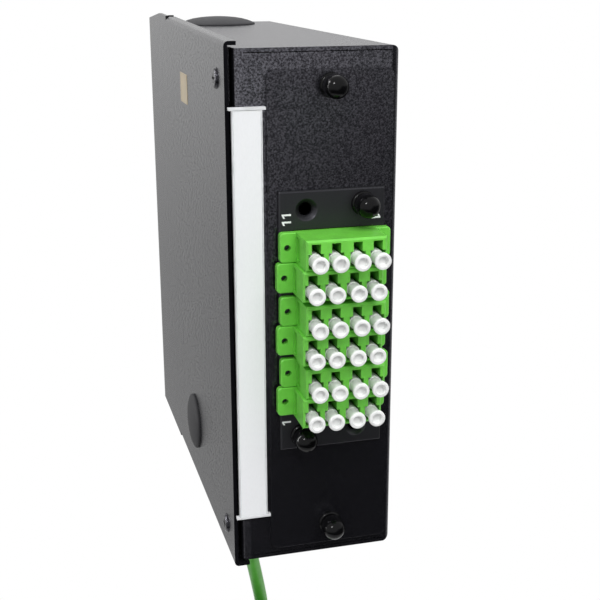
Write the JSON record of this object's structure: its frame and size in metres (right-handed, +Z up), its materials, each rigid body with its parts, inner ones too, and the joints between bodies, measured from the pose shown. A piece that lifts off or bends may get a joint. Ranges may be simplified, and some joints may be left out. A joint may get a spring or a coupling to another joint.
{
  "type": "din rail fibre box",
  "caption": "Slim sheet-steel fibre box that clips on a 35 mm rail, with capped green adapters on its front and a cable hanging from its base.",
  "frame": {"origin": "on the plane where the clip bears on the rail's front face, at the rail's centre line and the housing's mid-width", "axes": "+X right, +Y back towards the rail, +Z up; the front with the adapters faces -Y"},
  "size_m": [0.0559, 0.1928, 0.3328],
  "materials": {
    "black_powder_coat": "fine textured powder coat, satin",
    "black_panel_coat": "smooth satin coat",
    "screw_steel": "blackened steel",
    "zinc_steel": "bright zinc",
    "sticker_paper": "matt",
    "label_paper": "matt",
    "white_plastic": "satin moulded",
    "grey_plug_plastic": "satin moulded",
    "black_gloss_plastic": "polished moulded",
    "black_plastic": "satin moulded",
    "adapter_green": "satin moulded",
    "cap_white": "soft moulded",
    "zirconia_white": "polished",
    "fibre_yellow": "smooth jacket",
    "cable_green": "smooth jacket",
    "tray_plastic": "satin moulded",
    "clear_plastic": "smooth",
    "seal_rubber": "matt",
    "spring_steel": "drawn wire"
  },
  "bodies": {
    "box": {"adapter_panel": "black_panel_coat", "alignment_sleeves": "zirconia_white", "breakout_boot": "black_plastic", "buffer_tube": "fibre_yellow", "cable_coil": "cable_green", "cable_end": "cable_green", "cable_inside": "cable_green", "cable_tail": "cable_green", "coil_tie": "black_plastic", "din_clip": "black_plastic", "din_screws": "zinc_steel", "din_spring": "spring_steel", "dust_caps_1": "cap_white", "dust_caps_2": "cap_white", "dust_caps_3": "cap_white", "dust_caps_4": "cap_white", "dust_caps_5": "cap_white", "dust_caps_6": "cap_white", "fibre_loops": "fibre_yellow", "front_grommets": "black_plastic", "front_plate": "black_powder_coat", "gland_body": "black_plastic", "gland_cap": "black_plastic", "gland_locknut": "black_plastic", "gland_seal": "seal_rubber", "housing": "black_powder_coat", "label_holder": "white_plastic", "label_strip": "label_paper", "lc_adapter_1": "adapter_green", "lc_adapter_2": "adapter_green", "lc_adapter_3": "adapter_green", "lc_adapter_4": "adapter_green", "lc_adapter_5": "adapter_green", "lc_adapter_6": "adapter_green", "lc_plugs_1": "adapter_green", "lc_plugs_2": "adapter_green", "lc_plugs_3": "adapter_green", "lc_plugs_4": "adapter_green", "lc_plugs_5": "adapter_green", "lc_plugs_6": "adapter_green", "panel_grommets": "black_plastic", "pigtails": "fibre_yellow", "pull_cap": "black_plastic", "side_cover": "black_powder_coat", "side_cover_screws": "screw_steel", "side_plug": "grey_plug_plastic", "side_sticker": "sticker_paper", "splice_holder": "white_plastic", "splice_lid": "clear_plastic", "splice_sleeves": "clear_plastic", "splice_tray": "tray_plastic", "top_plug": "grey_plug_plastic", "tray_studs": "zinc_steel"},
    "front_plunger_top": {"front_plunger_top": "black_gloss_plastic"},
    "front_plunger_bottom": {"front_plunger_bottom": "black_gloss_plastic"},
    "panel_plunger_top": {"panel_plunger_top": "black_gloss_plastic"},
    "panel_plunger_bottom": {"panel_plunger_bottom": "black_gloss_plastic"},
    "din_foot": {"din_foot": "black_plastic"}
  },
  "joints": [
    {"name": "front_plunger_top_pull", "type": "slide", "parent": "box", "child": "front_plunger_top", "axis": [0, -1, 0], "range_m": [0, 0.004]},
    {"name": "front_plunger_bottom_pull", "type": "slide", "parent": "box", "child": "front_plunger_bottom", "axis": [0, -1, 0], "range_m": [0, 0.004]},
    {"name": "panel_plunger_top_pull", "type": "slide", "parent": "box", "child": "panel_plunger_top", "axis": [0, -1, 0], "range_m": [0, 0.004]},
    {"name": "panel_plunger_bottom_pull", "type": "slide", "parent": "box", "child": "panel_plunger_bottom", "axis": [0, -1, 0], "range_m": [0, 0.004]},
    {"name": "din_foot_slide", "type": "slide", "parent": "box", "child": "din_foot", "axis": [0, 0, -1], "range_m": [0, 0.004], "stiffness_N_per_m": 600, "springref_m": -0.003, "deforming": ["din_spring"]}
  ]
}
